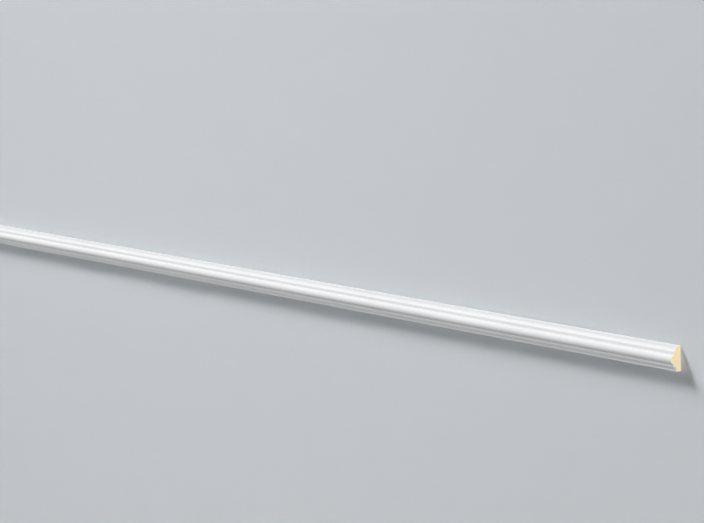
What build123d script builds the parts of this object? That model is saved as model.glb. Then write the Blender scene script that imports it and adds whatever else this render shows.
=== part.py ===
from build123d import *
import math
import os

# A length of slim wall-panel moulding in hard foam: one section run straight, with both ends cut square.
# It lies on its flat back. X runs along the strip, the thin lip is at +Y and the face looks up, along +Z.
# The origin is the middle of the back.

# Driving dimensions, in millimetres and degrees, in the order of the face from the lip down.
# A height runs across the face, away from the lip. A depth stands out from the back.
LENGTH = 2000.0
LIP_HEIGHT = 0.8
LIP_DEPTH = 4.6
COVE_HEIGHT = 3.3
COVE_REACH = 2.7
LEDGE_HEIGHT = 2.6
BEAD_STEP = 0.6
BEAD_RISE_HEIGHT = 3.65
BEAD_RISE = 2.1
BEAD_FALL_HEIGHT = 3.7
BEAD_FALL = 2.8
UPPER_FILLET_HEIGHT = 2.15
FILLET_STEP = 2.6
LOWER_FILLET_HEIGHT = 3.8

# The mould leaves every outer corner soft, every inner corner slightly filled and every side leaning.
ARRIS_RADIUS = 0.3
ROOT_RADIUS = 0.15
DRAFT_ANGLE = 2.0

# Where each member of the face ends, measured from the lip's edge.
COVE_END = LIP_HEIGHT + COVE_HEIGHT
LEDGE_END = COVE_END + LEDGE_HEIGHT
BEAD_CROWN = LEDGE_END + BEAD_RISE_HEIGHT
BEAD_END = BEAD_CROWN + BEAD_FALL_HEIGHT
UPPER_FILLET_END = BEAD_END + UPPER_FILLET_HEIGHT
FACE_WIDTH = UPPER_FILLET_END + LOWER_FILLET_HEIGHT

# How far each member stands out from the back.
LEDGE_DEPTH = LIP_DEPTH + COVE_REACH
BEAD_START_DEPTH = LEDGE_DEPTH + BEAD_STEP
CROWN_DEPTH = BEAD_START_DEPTH + BEAD_RISE
UPPER_FILLET_DEPTH = CROWN_DEPTH - BEAD_FALL
LOWER_FILLET_DEPTH = UPPER_FILLET_DEPTH - FILLET_STEP

TOWARDS_LIP = (1, 0)
AWAY_FROM_LIP = (-1, 0)


def lean(depth):
    """How far a side of this depth leans over, so that the strip lifts out of its mould."""
    return depth * math.tan(math.radians(DRAFT_ANGLE))


def spot(height, depth):
    """A point of the section, this far down from the lip's edge and this far out from the back."""
    return (FACE_WIDTH / 2 - height, depth)


def outer_corners():
    """The corners that stand out, each softened by the arris radius."""
    return {
        "lip": spot(lean(LIP_DEPTH), LIP_DEPTH),
        "cove": spot(COVE_END, LEDGE_DEPTH),
        "bead": spot(LEDGE_END + lean(BEAD_STEP), BEAD_START_DEPTH),
        "upper_fillet": spot(UPPER_FILLET_END, UPPER_FILLET_DEPTH),
        "lower_fillet": spot(FACE_WIDTH - lean(LOWER_FILLET_DEPTH), LOWER_FILLET_DEPTH),
    }


def inner_corners():
    """The corners that turn in, each filled by the root radius."""
    return {
        "ledge": spot(LEDGE_END, LEDGE_DEPTH),
        "bead": spot(BEAD_END, UPPER_FILLET_DEPTH),
        "step": spot(UPPER_FILLET_END + lean(FILLET_STEP), LOWER_FILLET_DEPTH),
    }


def section_face():
    """The section with sharp corners: lip, hollow cove, flat ledge, bead of two radii and two stepped fillets."""
    outer = outer_corners()
    inner = inner_corners()
    top = spot(0, 0)
    bottom = spot(FACE_WIDTH, 0)
    cove_start = spot(LIP_HEIGHT, LIP_DEPTH)
    crown = spot(BEAD_CROWN, CROWN_DEPTH)
    edges = [
        Polyline(top, outer["lip"], cove_start),
        TangentArc(cove_start, outer["cove"], tangent=AWAY_FROM_LIP),
        Polyline(outer["cove"], inner["ledge"], outer["bead"]),
        TangentArc(crown, outer["bead"], tangent=TOWARDS_LIP),
        TangentArc(crown, inner["bead"], tangent=AWAY_FROM_LIP),
        Polyline(inner["bead"], outer["upper_fillet"], inner["step"], outer["lower_fillet"], bottom, top),
    ]
    return make_face(edges)


def corners_at(face, points):
    """The face's own corners nearest to these points."""
    return [face.vertices().sort_by_distance((*point, 0))[0] for point in points]


def soft_section():
    """The section with its outer corners softened and its inner corners filled."""
    narrowest = min(LIP_HEIGHT, BEAD_STEP, UPPER_FILLET_HEIGHT)
    arris = min(ARRIS_RADIUS, 0.6 * narrowest)
    root = min(ROOT_RADIUS, 0.3 * narrowest)
    face = section_face()
    face = fillet(corners_at(face, outer_corners().values()), arris)
    return fillet(corners_at(face, inner_corners().values()), root)


def trim_strip():
    """The section run along X, half the length each way."""
    return extrude(Plane.YZ * soft_section(), amount=LENGTH / 2, both=True)


os.makedirs("parts", exist_ok=True)
export_step(trim_strip(), "parts/trim_strip.step")
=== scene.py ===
import logging
import math
import random
from dataclasses import dataclass, field
from enum import Enum
from typing import Iterable, Mapping, Sequence, Union

import bpy
import numpy as np
from mathutils import Matrix, Vector
from mathutils.geometry import delaunay_2d_cdt


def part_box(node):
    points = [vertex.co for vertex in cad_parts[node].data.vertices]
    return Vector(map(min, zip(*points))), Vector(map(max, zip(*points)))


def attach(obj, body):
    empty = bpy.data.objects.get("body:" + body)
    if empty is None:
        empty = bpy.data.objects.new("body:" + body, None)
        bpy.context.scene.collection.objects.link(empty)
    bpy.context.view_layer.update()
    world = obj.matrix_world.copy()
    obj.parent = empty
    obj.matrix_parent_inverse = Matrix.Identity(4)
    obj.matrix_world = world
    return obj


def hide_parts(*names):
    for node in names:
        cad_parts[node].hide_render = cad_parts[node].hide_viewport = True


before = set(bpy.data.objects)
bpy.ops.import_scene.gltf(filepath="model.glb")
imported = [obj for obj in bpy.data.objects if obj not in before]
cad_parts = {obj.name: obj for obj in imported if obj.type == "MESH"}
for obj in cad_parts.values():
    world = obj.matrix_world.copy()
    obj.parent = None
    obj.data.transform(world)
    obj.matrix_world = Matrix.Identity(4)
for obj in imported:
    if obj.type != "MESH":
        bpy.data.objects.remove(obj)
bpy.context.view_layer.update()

MM = 0.001
NODE = "trim_strip"
BODY = "root"
RIND = "rind"  # how far a point of the sawn foam lies under the skin, carried by the mesh
PLAIN_WHITE_STRENGTH = math.pi  # sun strength that lights a white surface facing it to plain white

EVEN = 0.5  # the middle value of a noise pattern
SHARPEST_SMOOTH = math.radians(32)  # faces that meet at a sharper angle are shaded apart
SAME_POINT = 1e-9  # points closer than this are one, in metres
NEARLY_LEVEL = 1e-30  # stands in for the rise of a side that has none

log = logging.getLogger("trim_strip")

Colour = tuple[float, float, float]
Place = tuple[float, float, float]
Shared = Union["Signal", float]
Stops = tuple[tuple[float, float], tuple[float, float]]


class Landmark(Enum):
    """What a pattern of cells measures the distance to, by the Voronoi node's own names."""

    MIDDLE = "F1"
    WALL = "DISTANCE_TO_EDGE"


class Signal:
    """An output in a node tree that can be used in arithmetic."""

    def __init__(self, tree: "Recipe", socket: bpy.types.NodeSocket) -> None:
        """Wraps one socket of one tree."""
        self.tree = tree
        self.socket = socket

    def maths(self, operation: str, first: Shared, second: Shared) -> "Signal":
        """Adds one Math node.

        Args:
            operation: the Math node's operation.
            first: its first value or link.
            second: its second value or link.

        Returns:
            The node's result.
        """
        return self.tree.node("ShaderNodeMath", {"operation": operation}, {0: first, 1: second})["Value"]

    def __add__(self, other: Shared) -> "Signal":
        """Sum."""
        return self.maths("ADD", self, other)

    __radd__ = __add__

    def __sub__(self, other: Shared) -> "Signal":
        """Difference."""
        return self.maths("SUBTRACT", self, other)

    def __rsub__(self, other: Shared) -> "Signal":
        """Difference from a number on the left."""
        return self.maths("SUBTRACT", other, self)

    def __mul__(self, other: Shared) -> "Signal":
        """Product."""
        return self.maths("MULTIPLY", self, other)

    __rmul__ = __mul__


class Outputs:
    """The outputs of one node, by name."""

    def __init__(self, tree: "Recipe", made: bpy.types.Node) -> None:
        """Wraps the outputs of one node of one tree."""
        self.tree = tree
        self.made = made

    def __getitem__(self, name: str) -> Signal:
        """The output of that name or identifier."""
        named = [s for s in self.made.outputs if name in (s.identifier, s.name)]
        return Signal(self.tree, named[0])


class Recipe:
    """A node tree, written as expressions."""

    def __init__(self, owner: Union[bpy.types.Material, bpy.types.World]) -> None:
        """Starts an empty node tree.

        Args:
            owner: the new material or world that the tree is for.
        """
        self.owner = owner
        owner.use_nodes = True
        self.nodes = owner.node_tree.nodes
        self.links = owner.node_tree.links
        self.nodes.clear()

    @classmethod
    def for_material(cls, name: str) -> "Recipe":
        """The empty tree of a new material of this name."""
        return cls(bpy.data.materials.new(name))

    def node(self, kind: str, settings: Mapping[str, object], values: Mapping[object, object]) -> Outputs:
        """Adds one node.

        Args:
            kind: the node's type.
            settings: its own settings, set first. "stops" holds a ramp's two positions and grey levels.
            values: a number, colour, vector or Signal for each input, by name, identifier or place.

        Returns:
            The node's outputs.
        """
        made = self.nodes.new(kind)
        for name, value in settings.items():
            if name == "stops":
                self.set_stops(made.color_ramp, value)
            else:
                setattr(made, name, value)
        for name, value in values.items():
            self.feed(self.input_of(made, name), value)
        return Outputs(self, made)

    def set_stops(self, ramp: bpy.types.ColorRamp, stops: Stops) -> None:
        """Sets the two stops of a new node's ramp.

        Args:
            ramp: the ramp.
            stops: each stop's position and its grey level.
        """
        for element, (position, level) in zip(ramp.elements, stops):
            element.position = position
            element.color = (level, level, level, 1)

    def input_of(self, made: bpy.types.Node, name: object) -> bpy.types.NodeSocket:
        """Finds one input of a node.

        Args:
            made: the node.
            name: the input's place, identifier or name.

        Returns:
            The input.
        """
        if isinstance(name, int):
            return made.inputs[name]
        return [s for s in made.inputs if name in (s.identifier, s.name)][0]

    def feed(self, socket: bpy.types.NodeSocket, value: object) -> None:
        """Links a Signal to an input, or sets the input's own value.

        Args:
            socket: the input.
            value: a Signal, or the number, colour or vector to set.
        """
        if isinstance(value, Signal):
            self.links.new(value.socket, socket)
        elif isinstance(value, tuple) and len(value) == 3 and socket.type == "RGBA":
            socket.default_value = (*value, 1)
        else:
            socket.default_value = value

    def position(self) -> Signal:
        """The surface's place in the object's own frame, in metres."""
        return self.node("ShaderNodeTexCoord", {}, {})["Object"]

    def stretched(self, stretch: Place) -> Signal:
        """The place with each axis multiplied, for a pattern drawn out along an axis."""
        settings = {"operation": "MULTIPLY"}
        return self.node("ShaderNodeVectorMath", settings, {0: self.position(), 1: stretch})["Vector"]

    def noise(self, place: Signal, scale: float, detail: float) -> Signal:
        """A cloudy pattern about a half.

        Args:
            place: where it is read.
            scale: its features to the metre.
            detail: its finer layers.

        Returns:
            A value from about 0.2 to 0.8.
        """
        values = {"Vector": place, "Scale": scale, "Detail": detail}
        return self.node("ShaderNodeTexNoise", {}, values)["Fac"]

    def cells(self, place: Signal, scale: float, landmark: Landmark) -> Signal:
        """A pattern of cells.

        Args:
            place: where it is read.
            scale: its cells to the metre.
            landmark: what the distance is measured to.

        Returns:
            The distance, in cells.
        """
        values = {"Vector": place, "Scale": scale}
        return self.node("ShaderNodeTexVoronoi", {"feature": landmark.value}, values)["Distance"]

    def ramp(self, value: Signal, stops: Stops) -> Signal:
        """A value read through a ramp of grey levels."""
        return self.node("ShaderNodeValToRGB", {"stops": stops}, {"Fac": value})["Color"]

    def attribute(self, name: str) -> Signal:
        """A number that the mesh carries at its points."""
        return self.node("ShaderNodeAttribute", {"attribute_name": name}, {})["Fac"]

    def blend(self, share: Shared, first: object, second: object) -> Signal:
        """A colour between two others.

        Args:
            share: 0 for the first colour and 1 for the second.
            first: a colour or a Signal.
            second: a colour or a Signal.

        Returns:
            The mixed colour.
        """
        values = {"Factor_Float": share, "A_Color": first, "B_Color": second}
        return self.node("ShaderNodeMix", {"data_type": "RGBA"}, values)["Result_Color"]

    def distance(self, place: Signal, middle: Place) -> Signal:
        """How far a place is from one point."""
        return self.node("ShaderNodeVectorMath", {"operation": "DISTANCE"}, {0: place, 1: middle})["Value"]

    def eased(self, value: Signal, reach: float) -> Signal:
        """A smooth rise from 0 to 1 while the value goes from 0 to its reach."""
        settings = {"interpolation_type": "SMOOTHSTEP"}
        return self.node("ShaderNodeMapRange", settings, {"Value": value, "From Max": reach})["Result"]

    def bump(self, height: Signal, depth: float) -> Signal:
        """A normal from a height of 0 to 1, which stands for this depth in metres."""
        return self.node("ShaderNodeBump", {}, {"Height": height, "Distance": depth})["Normal"]

    def finished(self, values: Mapping[object, object]) -> bpy.types.Material:
        """Ends the tree with one surface shader.

        Args:
            values: the Principled shader's inputs.

        Returns:
            The material.
        """
        shader = self.node("ShaderNodeBsdfPrincipled", {}, values)
        self.node("ShaderNodeOutputMaterial", {}, {"Surface": shader["BSDF"]})
        return self.owner


@dataclass(frozen=True)
class PrimerFinish:
    """Matt white primer, sprayed in the mould and faintly pebbled."""

    colour: Colour = (0.865, 0.872, 0.885)
    thin_colour: Colour = (0.835, 0.838, 0.845)
    thin_stops: Stops = ((0.45, 0.0), (0.72, 1.0))
    layers: float = 3.0
    cloud_scale: float = 14.0
    cloud_share: float = 0.6
    streak_scale: float = 260.0
    streak_stretch: Place = (0.02, 1.0, 1.0)
    streak_share: float = 0.4
    streak_height: float = 0.15
    pebble_scale: float = 900.0
    pebble_layers: float = 2.0
    pebble_height: float = 0.7
    nib_scale: float = 120.0
    nib_stops: Stops = ((0.0, 1.0), (0.035, 0.0))
    nib_height: float = 0.3
    relief: float = 0.1 * MM
    roughness: float = 0.55
    streak_dullness: float = 0.12
    pebble_dullness: float = 0.1
    gloss: float = 0.3

    def material(self) -> bpy.types.Material:
        """Builds the finish.

        Returns:
            A node material.
        """
        recipe = Recipe.for_material("matt_white_primer")
        place = recipe.position()
        cloud = recipe.noise(place, self.cloud_scale, self.layers)
        streak = recipe.noise(recipe.stretched(self.streak_stretch), self.streak_scale, self.layers)
        pebble = recipe.noise(place, self.pebble_scale, self.pebble_layers)
        nib = recipe.ramp(recipe.cells(place, self.nib_scale, Landmark.MIDDLE), self.nib_stops)
        thin = recipe.ramp(cloud * self.cloud_share + streak * self.streak_share, self.thin_stops)
        dullness = self.streak_dullness * (streak - EVEN) + self.pebble_dullness * (pebble - EVEN)
        height = pebble * self.pebble_height + streak * self.streak_height + nib * self.nib_height
        return recipe.finished({
            "Base Color": recipe.blend(thin, self.colour, self.thin_colour),
            "Roughness": self.roughness + dullness,
            "Specular IOR Level": self.gloss,
            "Normal": recipe.bump(height, self.relief),
        })


@dataclass(frozen=True)
class CutFoamFinish:
    """Sawn pale yellow hard foam: fine cells, wider pores and a denser rind under the primer, with painted
    shade darkening the open cells and pores.
    """

    core_colour: Colour = (0.92, 0.76, 0.46)
    # painted shade: the darker colour of the open cells and pores, standing in for the shadow inside them
    pore_shade_colour: Colour = (0.80, 0.62, 0.33)
    rind_colour: Colour = (0.93, 0.83, 0.60)
    rind_depth: float = 0.9 * MM
    rind_stops: Stops = ((0.15, 1.0), (1.0, 0.0))
    rind_closing: float = 0.7
    cell_scale: float = 3600.0
    cell_stops: Stops = ((0.05, 0.0), (0.28, 1.0))
    cell_share: float = 0.35
    cell_wall: float = 0.3
    pore_scale: float = 1100.0
    pore_stops: Stops = ((0.12, 1.0), (0.24, 0.0))
    pore_share: float = 0.6
    relief: float = 0.05 * MM
    roughness: float = 0.85
    wall_dullness: float = 0.1

    def material(self) -> bpy.types.Material:
        """Builds the finish.

        Returns:
            A node material.
        """
        recipe = Recipe.for_material("cut_cream_foam")
        place = recipe.position()
        wall = recipe.cells(place, self.cell_scale, Landmark.WALL)
        open_cell = recipe.ramp(wall, self.cell_stops)
        pore = recipe.ramp(recipe.cells(place, self.pore_scale, Landmark.MIDDLE), self.pore_stops)
        rind = recipe.ramp(recipe.attribute(RIND) * (1 / self.rind_depth), self.rind_stops)
        open_share = open_cell * self.cell_share + pore * self.pore_share
        hollow = open_share * (1 - rind * self.rind_closing)
        body = recipe.blend(rind, self.core_colour, self.rind_colour)
        return recipe.finished({
            # the open cells and pores are painted darker, as shade in the hollows; the bump sinks them as
            # well
            "Base Color": recipe.blend(hollow, body, self.pore_shade_colour),
            "Roughness": self.roughness + self.wall_dullness * (wall - self.cell_wall),
            "Normal": recipe.bump(1 - hollow, self.relief),
        })


@dataclass(frozen=True)
class PlanedBackFinish:
    """The flat back, planed for glue and misted so thinly with primer that the foam shows in places."""

    mist_colour: Colour = (0.84, 0.83, 0.79)
    foam_colour: Colour = (0.88, 0.77, 0.54)
    bare_stops: Stops = ((0.48, 0.0), (0.7, 0.7))
    layers: float = 4.0
    mist_scale: float = 90.0
    mist_share: float = 0.6
    score_scale: float = 500.0
    score_stretch: Place = (0.01, 1.0, 1.0)
    score_share: float = 0.4
    relief: float = 0.04 * MM
    roughness: float = 0.8
    score_dullness: float = 0.15

    def material(self) -> bpy.types.Material:
        """Builds the finish.

        Returns:
            A node material.
        """
        recipe = Recipe.for_material("planed_back")
        mist = recipe.noise(recipe.position(), self.mist_scale, self.layers)
        score = recipe.noise(recipe.stretched(self.score_stretch), self.score_scale, self.layers)
        bare = recipe.ramp(mist * self.mist_share + score * self.score_share, self.bare_stops)
        return recipe.finished({
            "Base Color": recipe.blend(bare, self.mist_colour, self.foam_colour),
            "Roughness": self.roughness + self.score_dullness * (score - EVEN),
            "Normal": recipe.bump(score, self.relief),
        })


@dataclass(frozen=True)
class FloorFinish:
    """Plain pale grey-blue paint, dead flat, with a painted pool of light: its colour darkens softly away
    from a middle point, standing in for the falloff of lamp light.
    """

    colour: Colour = (0.75, 0.786, 0.813)
    # painted falloff of light: the darker colour the floor fades to away from the middle
    falloff_shade_colour: Colour = (0.525, 0.55, 0.569)
    middle: Place = (0.13, 0.8, 0.0)
    reach: float = 2.5
    roughness: float = 0.95

    def material(self) -> bpy.types.Material:
        """Builds the finish.

        Returns:
            A node material.
        """
        recipe = Recipe.for_material("pale_floor")
        away = recipe.distance(recipe.position(), self.middle)
        return recipe.finished({
            # painted pool of light: the colour fades to the darker one away from the middle point
            "Base Color": recipe.blend(recipe.eased(away, self.reach), self.colour, self.falloff_shade_colour),
            "Roughness": self.roughness,
            "Specular IOR Level": 0.0,
        })


class Zone(Enum):
    """The three kinds of surface on the strip, as its mesh's material slots."""

    FACE = 0
    CUT = 1
    BACK = 2


class End(Enum):
    """The strip's two ends, by the way each faces along the length."""

    LEFT = -1
    RIGHT = 1


def line(start: np.ndarray, end: np.ndarray, step: float) -> np.ndarray:
    """Points along a straight side.

    Args:
        start: the first point.
        end: the last point.
        step: the distance between points.

    Returns:
        The points, both ends included.
    """
    count = max(2, round(float(np.linalg.norm(end - start)) / step) + 1)
    return start + np.linspace(0, 1, count)[:, None] * (end - start)


def around(centre: np.ndarray, start: np.ndarray, end: np.ndarray, step: float) -> np.ndarray:
    """Points along the short arc between two points about a centre, which ends exactly at both.

    Args:
        centre: the arc's centre.
        start: the first point.
        end: the last point.
        step: the distance between points.

    Returns:
        The points, both ends included.
    """
    out, back = start - centre, end - centre
    turn = math.atan2(out[0] * back[1] - out[1] * back[0], float(out @ back))
    radius = float(np.linalg.norm(out))
    share = np.linspace(0, 1, max(3, round(abs(turn) * radius / step) + 1))[:, None]
    across = np.array([-out[1], out[0]])
    growth = 1 + share * (float(np.linalg.norm(back)) / radius - 1)
    return centre + growth * (np.cos(share * turn) * out + np.sin(share * turn) * across)


def tangent_arc(start: np.ndarray, end: np.ndarray, heading: np.ndarray, step: float) -> np.ndarray:
    """Points along the arc that leaves its start in a given direction.

    Args:
        start: the first point.
        end: the last point.
        heading: the arc's direction at its start, of unit length.
        step: the distance between points.

    Returns:
        The points, both ends included.
    """
    chord = end - start
    side = np.array([-heading[1], heading[0]])
    radius = float(chord @ chord) / (2 * float(chord @ side))
    return around(start + radius * side, start, end, step)


def normals(points: np.ndarray) -> np.ndarray:
    """The unit normals on the left of a line of points.

    Args:
        points: the line's points.

    Returns:
        A unit normal at each point.
    """
    ahead = np.gradient(points, axis=0)
    across = np.column_stack([-ahead[:, 1], ahead[:, 0]])
    return across / np.linalg.norm(across, axis=1)[:, None]


def rounded(
    before: np.ndarray, after: np.ndarray, radius: float, step: float
) -> tuple[np.ndarray, np.ndarray]:
    """Rounds the corner where one side meets the next.

    Args:
        before: the side that ends at the corner.
        after: the side that starts there.
        radius: the radius of the rounding.
        step: the distance between its points.

    Returns:
        The first side with the rounding added and the second side cut back to it.
    """
    turn = np.cross(before[-1] - before[-2], after[1] - after[0])
    reach = radius * math.copysign(1, float(turn))
    near_before = before + reach * normals(before)
    near_after = after + reach * normals(after)
    gaps = np.linalg.norm(near_before[:, None] - near_after[None], axis=2)
    last, first = np.unravel_index(np.argmin(gaps), gaps.shape)
    centre = (near_before[last] + near_after[first]) / 2
    arc = around(centre, before[last], after[first], step)
    return np.vstack([before[:last], arc]), after[first + 1:]


@dataclass(frozen=True)
class Section:
    """The moulding's section in metres, read down the face from the thin lip.

    A height runs across the face and a depth stands out from the back, as (across, out) points.
    """

    width: float
    depth: float
    lip_height: float = 0.8 * MM
    cove_height: float = 3.3 * MM
    cove_reach: float = 2.7 * MM
    ledge_height: float = 2.6 * MM
    bead_step: float = 0.6 * MM
    bead_rise_height: float = 3.65 * MM
    bead_rise: float = 2.1 * MM
    bead_fall_height: float = 3.7 * MM
    bead_fall: float = 2.8 * MM
    upper_fillet_height: float = 2.15 * MM
    fillet_step: float = 2.6 * MM
    arris_radius: float = 0.3 * MM
    root_radius: float = 0.15 * MM
    draft: float = math.radians(2)
    fine_step: float = 0.01 * MM
    most_turn: float = math.radians(5)
    least_gap: float = 0.025 * MM
    most_gap: float = 0.4 * MM

    def spot(self, height: float, depth: float) -> np.ndarray:
        """A point this far down from the lip's edge and this far out from the back."""
        return np.array([self.width / 2 - height, depth])

    def lean(self, depth: float) -> float:
        """How far a side of this depth leans over."""
        return depth * math.tan(self.draft)

    def sides(self) -> list[tuple[np.ndarray, float]]:
        """The face's members in order, with sharp corners.

        Returns:
            Each member's fine points and the radius of the corner after it, 0 where it runs on smoothly.
        """
        ledge_depth = self.depth - self.bead_rise - self.bead_step
        lip_depth = ledge_depth - self.cove_reach
        upper_depth = self.depth - self.bead_fall
        lower_depth = upper_depth - self.fillet_step
        cove_end = self.lip_height + self.cove_height
        ledge_end = cove_end + self.ledge_height
        crown = ledge_end + self.bead_rise_height
        bead_end = crown + self.bead_fall_height
        upper_end = bead_end + self.upper_fillet_height
        lip_corner = self.spot(self.lean(lip_depth), lip_depth)
        cove_start = self.spot(self.lip_height, lip_depth)
        cove_corner = self.spot(cove_end, ledge_depth)
        ledge_root = self.spot(ledge_end, ledge_depth)
        bead_corner = self.spot(ledge_end + self.lean(self.bead_step), self.depth - self.bead_rise)
        crown_point = self.spot(crown, self.depth)
        bead_root = self.spot(bead_end, upper_depth)
        upper_corner = self.spot(upper_end, upper_depth)
        step_root = self.spot(upper_end + self.lean(self.fillet_step), lower_depth)
        lower_corner = self.spot(self.width - self.lean(lower_depth), lower_depth)
        down, up = np.array([-1.0, 0.0]), np.array([1.0, 0.0])
        fine = self.fine_step
        return [
            (line(self.spot(0, 0), lip_corner, fine), self.arris_radius),
            (line(lip_corner, cove_start, fine), 0),
            (tangent_arc(cove_start, cove_corner, down, fine), self.arris_radius),
            (line(cove_corner, ledge_root, fine), self.root_radius),
            (line(ledge_root, bead_corner, fine), self.arris_radius),
            (tangent_arc(crown_point, bead_corner, up, fine)[::-1], 0),
            (tangent_arc(crown_point, bead_root, down, fine), self.root_radius),
            (line(bead_root, upper_corner, fine), self.arris_radius),
            (line(upper_corner, step_root, fine), self.root_radius),
            (line(step_root, lower_corner, fine), self.arris_radius),
            (line(lower_corner, self.spot(self.width, 0), fine), 0),
        ]

    def outline(self) -> np.ndarray:
        """The face with its corners rounded, from the back of the lip to the back of the lower edge.

        Returns:
            Points close together on the curves and further apart on the flats.
        """
        sides = self.sides()
        run = sides[0][0]
        for (_, radius), (following, _) in zip(sides, sides[1:]):
            if radius:
                run, following = rounded(run, following, radius, self.fine_step)
            else:
                following = following[1:]
            run = np.vstack([run, following])
        return self.thinned(run)

    def thinned(self, run: np.ndarray) -> np.ndarray:
        """Keeps the points where the line has turned or run on far enough.

        Args:
            run: fine points.

        Returns:
            The points kept, both ends included.
        """
        ahead = np.diff(run, axis=0)
        headings = np.unwrap(np.arctan2(ahead[:, 1], ahead[:, 0]))
        kept, last = [0], 0
        for here in range(1, len(run) - 1):
            turned = abs(headings[here] - headings[last]) >= self.most_turn
            gap = np.linalg.norm(run[here] - run[last])
            if gap >= self.most_gap or turned and gap >= self.least_gap:
                kept.append(here)
                last = here
        if np.linalg.norm(run[-1] - run[kept[-1]]) < self.most_gap / 2:
            kept.pop()
        return run[[*kept, len(run) - 1]]


class MeshMaker:
    """Gathers points and faces for one closed mesh."""

    def __init__(self) -> None:
        """Starts with no points and no faces."""
        self.points: list[Place] = []
        self.faces: list[tuple[int, ...]] = []
        self.zones: list[Zone] = []

    def add_points(self, points: Iterable[Place]) -> list[int]:
        """Adds points.

        Args:
            points: their places.

        Returns:
            Their numbers.
        """
        first = len(self.points)
        self.points.extend(tuple(float(v) for v in p) for p in points)
        return list(range(first, len(self.points)))

    def add_face(self, corners: Sequence[int], zone: Zone, flip: bool) -> None:
        """Adds one face, with its corners reversed if it is to face the other way."""
        self.faces.append(tuple(reversed(corners)) if flip else tuple(corners))
        self.zones.append(zone)

    def join_rings(
        self, one: Sequence[int], other: Sequence[int], zones: Sequence[Zone], flip: bool
    ) -> None:
        """Joins two closed rings of as many points with quads.

        Args:
            one: the first ring.
            other: the second ring.
            zones: the zone of the quad that starts at each point.
            flip: whether the quads face the other way.
        """
        for here, zone in enumerate(zones):
            ahead = (here + 1) % len(zones)
            self.add_face((one[here], one[ahead], other[ahead], other[here]), zone, flip)

    def mesh(self, name: str) -> bpy.types.Mesh:
        """Makes the mesh.

        Args:
            name: its name.

        Returns:
            The mesh, smooth except at its sharp edges.
        """
        made = bpy.data.meshes.new(name)
        made.from_pydata(self.points, [], self.faces)
        made.polygons.foreach_set("material_index", [zone.value for zone in self.zones])
        made.polygons.foreach_set("use_smooth", [True] * len(self.faces))
        made.update()
        made.set_sharp_from_angle(angle=SHARPEST_SMOOTH)
        return made


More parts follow.
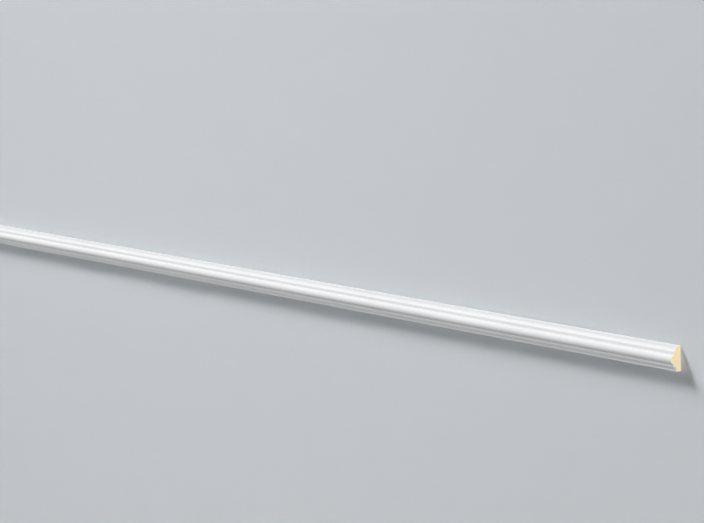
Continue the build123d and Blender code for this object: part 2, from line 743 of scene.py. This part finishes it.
@dataclass
class SawnEnd:
    """One square cut end: the primer's edge as a thin chipped ring, and the sawn foam inside it."""

    end: End
    film: float = 0.13 * MM
    chip: float = 0.06 * MM
    chip_rarity: int = 4
    pitch: float = 0.2 * MM
    row_share: float = 0.87
    jitter: float = 0.3
    clear: float = 0.1 * MM
    cell_relief: float = 0.05 * MM
    cell_rarity: int = 3
    score_relief: float = 0.025 * MM
    score_pitch: float = 0.7 * MM
    blade_radius: float = 125 * MM
    seed: int = 11

    def build(
        self, maker: MeshMaker, ring: Sequence[int], outline: np.ndarray, x: float
    ) -> dict[int, float]:
        """Closes the strip's end.

        Args:
            maker: the strip's mesh.
            ring: the strip's ring of points at this end.
            outline: the closed section.
            x: where the cut is.

        Returns:
            How far each foam point lies under the skin.
        """
        draw = random.Random(self.seed + self.end.value)
        flip = self.end is End.LEFT
        inner = self.inset(outline)
        chips = [draw.random() ** self.chip_rarity * self.chip for _ in inner]
        rim = maker.add_points((x - self.end.value * c, *p) for p, c in zip(inner, chips))
        maker.join_rings(ring, rim, [Zone.FACE] * len(ring), flip)
        return self.foam(maker, rim, inner, x, draw)

    def inset(self, outline: np.ndarray) -> np.ndarray:
        """The outline moved in by the film's thickness.

        Args:
            outline: the closed section.

        Returns:
            As many points, just inside it.
        """
        before = outline - np.roll(outline, 1, axis=0)
        after = np.roll(outline, -1, axis=0) - outline
        units = [v / np.linalg.norm(v, axis=1)[:, None] for v in (before, after)]
        left = [np.column_stack([-u[:, 1], u[:, 0]]) for u in units]
        middle = left[0] + left[1]
        reach = 2 / np.sum(middle * middle, axis=1)
        inward = -1 if self.area(outline) < 0 else 1
        return outline + inward * self.film * reach[:, None] * middle

    def area(self, outline: np.ndarray) -> float:
        """The section's area, below zero where it runs clockwise."""
        ahead = np.roll(outline, -1, axis=0)
        return float(np.sum(outline[:, 0] * ahead[:, 1] - outline[:, 1] * ahead[:, 0])) / 2

    def foam(
        self, maker: MeshMaker, rim: Sequence[int], inner: np.ndarray, x: float, draw: random.Random
    ) -> dict[int, float]:
        """Fills the rim with a fine sheet of foam, pitted by its cells and scored by the blade.

        Args:
            maker: the strip's mesh.
            rim: the points of the primer ring's inner edge.
            inner: their places in the section.
            x: where the cut is.
            draw: the end's own random draws.

        Returns:
            How far each foam point lies under the skin.
        """
        spots, depths = self.spots(inner, draw)
        relief = [self.relief(p, draw) for p in spots]
        foam = maker.add_points((x - self.end.value * r, *p) for p, r in zip(spots, relief))
        numbers = [*rim, *foam]
        flat = [Vector(p) for p in (*inner, *spots)]
        made = delaunay_2d_cdt(flat, [], [list(range(len(inner)))], 1, SAME_POINT)
        faces, origins = made[2], made[3]
        for corners in faces:
            places = [flat[origins[c][0]] for c in corners]
            spread = (places[1] - places[0]).cross(places[2] - places[0])
            turned = (spread < 0) != (self.end is End.LEFT)
            maker.add_face([numbers[origins[c][0]] for c in corners], Zone.CUT, turned)
        return {**dict.fromkeys(rim, 0.0), **dict(zip(foam, depths))}

    def spots(self, inner: np.ndarray, draw: random.Random) -> tuple[np.ndarray, np.ndarray]:
        """Scatters the foam's points over the section.

        Args:
            inner: the edge that they stay inside.
            draw: the end's own random draws.

        Returns:
            Their places and how far each lies from the edge.
        """
        low, high = inner.min(axis=0), inner.max(axis=0)
        jitter = self.jitter
        grid = [
            (y + draw.uniform(-jitter, jitter) * self.pitch, z + draw.uniform(-jitter, jitter) * self.pitch)
            for row, z in enumerate(np.arange(low[1], high[1], self.pitch * self.row_share))
            for y in np.arange(low[0] + (row % 2) * self.pitch / 2, high[0], self.pitch)
        ]
        spots = np.array(grid)
        depths = self.depth_inside(inner, spots)
        kept = depths > self.clear
        return spots[kept], depths[kept]

    def depth_inside(self, inner: np.ndarray, spots: np.ndarray) -> np.ndarray:
        """How far points lie inside a closed line, below zero outside it.

        Args:
            inner: the closed line.
            spots: the points.

        Returns:
            Their distances from the line.
        """
        start, ahead = inner, np.roll(inner, -1, axis=0) - inner
        away = spots[:, None] - start[None]
        share = np.clip(np.sum(away * ahead, axis=2) / np.sum(ahead * ahead, axis=1), 0, 1)
        distance = np.linalg.norm(away - share[..., None] * ahead, axis=2).min(axis=1)
        y, z = spots[:, 0, None], spots[:, 1, None]
        end = start + ahead
        spans = (start[:, 1] > z) != (end[:, 1] > z)
        steep = np.where(ahead[:, 1] == 0, NEARLY_LEVEL, ahead[:, 1])
        crossing = start[:, 0] + (z - start[:, 1]) * ahead[:, 0] / steep
        inside = np.sum(spans & (y < crossing), axis=1) % 2 == 1
        return np.where(inside, distance, -distance)

    def relief(self, spot: np.ndarray, draw: random.Random) -> float:
        """How far the sawn face is sunk at a point, by the blade's scores and by an open cell.

        Args:
            spot: the point in the section.
            draw: the end's own random draws.

        Returns:
            The depth below the cut.
        """
        swing = math.hypot(spot[0] - self.blade_radius, spot[1])
        score = (1 + math.sin(2 * math.pi * swing / self.score_pitch)) / 2
        return self.score_relief * score + self.cell_relief * draw.random() ** self.cell_rarity


@dataclass
class TrimStrip:
    """The whole strip: the section run between two sawn ends."""

    section: Section
    left: float
    right: float
    bay: float = 40 * MM
    primer: PrimerFinish = field(default_factory=PrimerFinish)
    foam: CutFoamFinish = field(default_factory=CutFoamFinish)
    planed: PlanedBackFinish = field(default_factory=PlanedBackFinish)

    @classmethod
    def on_frame(cls) -> "TrimStrip":
        """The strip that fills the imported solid's box."""
        low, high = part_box(NODE)
        return cls(Section(high.y - low.y, high.z - low.z), low.x, high.x)

    def closed_outline(self) -> tuple[np.ndarray, list[Zone]]:
        """The section closed across its back.

        Returns:
            The points, and the zone of the side that starts at each.
        """
        face = self.section.outline()
        back = line(face[-1], face[0], self.section.most_gap * 2)[1:-1]
        zones = [Zone.FACE] * (len(face) - 1) + [Zone.BACK] * (len(back) + 1)
        return np.vstack([face, back]), zones

    def build(self) -> bpy.types.Object:
        """Builds the strip and puts it on its body in place of the solid.

        Returns:
            The strip.
        """
        outline, zones = self.closed_outline()
        maker = MeshMaker()
        bays = round((self.right - self.left) / self.bay)
        rings = [
            maker.add_points((x, *p) for p in outline)
            for x in np.linspace(self.left, self.right, bays + 1)
        ]
        for one, other in zip(rings, rings[1:]):
            maker.join_rings(one, other, zones, flip=True)
        depths = SawnEnd(End.LEFT).build(maker, rings[0], outline, self.left)
        depths |= SawnEnd(End.RIGHT).build(maker, rings[-1], outline, self.right)
        mesh = maker.mesh("moulded_strip")
        self.carry_depths(mesh, depths)
        for finish in (self.primer, self.foam, self.planed):
            mesh.materials.append(finish.material())
        strip = bpy.data.objects.new("moulded_strip", mesh)
        bpy.context.scene.collection.objects.link(strip)
        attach(strip, BODY)
        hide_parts(NODE)
        log.info("%s: %d faces", strip.name, len(mesh.polygons))
        return strip

    def carry_depths(self, mesh: bpy.types.Mesh, depths: Mapping[int, float]) -> None:
        """Writes to the mesh how far each foam point lies under the skin."""
        rind = mesh.attributes.new(RIND, "FLOAT", "POINT")
        rind.data.foreach_set("value", [depths.get(i, 0.0) for i in range(len(mesh.vertices))])


@dataclass(frozen=True)
class Floor:
    """The plain surface that the strip lies on."""

    half: float = 40.0
    drop: float = 0.02 * MM
    finish: FloorFinish = FloorFinish()

    def build(self) -> bpy.types.Object:
        """Builds the floor.

        Returns:
            The floor.
        """
        half, z = self.half, -self.drop
        corners = [(-half, -half, z), (half, -half, z), (half, half, z), (-half, half, z)]
        mesh = bpy.data.meshes.new("floor")
        mesh.from_pydata(corners, [], [(0, 1, 2, 3)])
        mesh.materials.append(self.finish.material())
        floor = bpy.data.objects.new("floor", mesh)
        bpy.context.scene.collection.objects.link(floor)
        log.info("floor: %.0f m across", 2 * half)
        return floor


class Lit(Enum):
    """What a lamp lights: the whole studio, or one thing in it and nothing else."""

    ALL = 0
    STRIP = 1
    FLOOR = 2


@dataclass(frozen=True)
class FarSoftbox:
    """A soft lamp so far off that its light is the same all along the strip."""

    name: str
    towards: Place
    width: float
    level: float
    lit: Lit = Lit.ALL

    def build(self, groups: Mapping[Lit, bpy.types.Collection]) -> bpy.types.Object:
        """Builds the lamp, at the strength that gives a white surface facing it this level.

        Args:
            groups: what the lamps for one thing light.

        Returns:
            The lamp.
        """
        data = bpy.data.lights.new(self.name, "SUN")
        data.angle = math.radians(self.width)
        data.energy = self.level * PLAIN_WHITE_STRENGTH
        lamp = bpy.data.objects.new(self.name, data)
        lamp.rotation_mode = "QUATERNION"
        lamp.rotation_quaternion = Vector(self.towards).to_track_quat("Z", "Y")
        lamp.light_linking.receiver_collection = groups.get(self.lit)
        bpy.context.scene.collection.objects.link(lamp)
        log.info("lamp %s: level %.2f", self.name, self.level)
        return lamp


@dataclass(frozen=True)
class Studio:
    """The lamps, the even light of the room and the pale distance behind the floor."""

    room_level: float = 0.015
    distance_colour: Colour = (0.421, 0.442, 0.457)
    lamps: tuple[FarSoftbox, ...] = (
        FarSoftbox("key_softbox", (-4.93, 5.75, 2.59), 10.0, 0.61),
        FarSoftbox("floor_softbox", (-4.93, 5.75, 2.45), 14.0, 0.73, Lit.FLOOR),
        FarSoftbox("side_softbox", (-6.55, 2.89, 3.57), 5.7, 0.10, Lit.STRIP),
        FarSoftbox("near_softbox", (4.0, 4.81, 4.98), 5.7, 0.24, Lit.STRIP),
        FarSoftbox("front_softbox", (4.59, -3.47, 5.56), 18.0, 0.26),
        FarSoftbox("fill_softbox", (5.66, -1.93, 5.32), 14.0, 0.16),
        FarSoftbox("end_softbox", (7.61, 1.89, 1.59), 11.0, 0.37),
    )

    def build(self, strip: bpy.types.Object, floor: bpy.types.Object) -> None:
        """Builds the room's light and the lamps.

        Args:
            strip: the strip.
            floor: the floor.
        """
        room = Recipe(bpy.data.worlds.new("room"))
        ray = room.node("ShaderNodeLightPath", {}, {})
        seen = ray["Is Camera Ray"] + ray["Is Glossy Ray"] + ray["Is Transmission Ray"]
        light = (self.room_level, self.room_level, self.room_level)
        colour = room.blend(seen, light, self.distance_colour)
        shown = room.node("ShaderNodeBackground", {}, {"Color": colour})
        room.node("ShaderNodeOutputWorld", {}, {"Surface": shown["Background"]})
        bpy.context.scene.world = room.owner
        groups = {Lit.STRIP: self.group("strip_alone", strip), Lit.FLOOR: self.group("floor_alone", floor)}
        for lamp in self.lamps:
            lamp.build(groups)

    def group(self, name: str, thing: bpy.types.Object) -> bpy.types.Collection:
        """Puts one thing in a collection, for the lamps that light it alone.

        Args:
            name: the collection's name.
            thing: what it holds.

        Returns:
            The collection.
        """
        made = bpy.data.collections.new(name)
        made.objects.link(thing)
        return made


@dataclass(frozen=True)
class Viewpoint:
    """The camera: near the strip's right end, looking back along it and down on its face."""

    place: Place = (2.3157, 0.3301, 1.2652)
    target: Place = (0.57735, 0.03352, 0.0)
    across_back: Place = (0.0, 1.0, 0.0)
    roll: float = math.radians(1.404)
    lens: float = 123.10
    sensor: float = 36.0

    def build(self) -> bpy.types.Object:
        """Builds the camera and makes it the scene's.

        Returns:
            The camera.
        """
        data = bpy.data.cameras.new("camera")
        data.lens, data.sensor_width, data.sensor_fit = self.lens, self.sensor, "HORIZONTAL"
        forward = (Vector(self.target) - Vector(self.place)).normalized()
        side = forward.cross(Vector(self.across_back)).normalized()
        upright = side.cross(forward)
        up = math.cos(self.roll) * upright + math.sin(self.roll) * side
        turned = Matrix((forward.cross(up), up, -forward)).transposed()
        camera = bpy.data.objects.new("camera", data)
        camera.matrix_world = Matrix.Translation(self.place) @ turned.to_4x4()
        bpy.context.scene.collection.objects.link(camera)
        bpy.context.scene.camera = camera
        return camera


def main() -> None:
    """Builds the strip, the floor, the light and the camera."""
    logging.basicConfig(level=logging.INFO)
    strip = TrimStrip.on_frame().build()
    floor = Floor().build()
    Studio().build(strip, floor)
    Viewpoint().build()
    bpy.context.scene.view_settings.view_transform = "Standard"


if __name__ == "__main__":
    main()
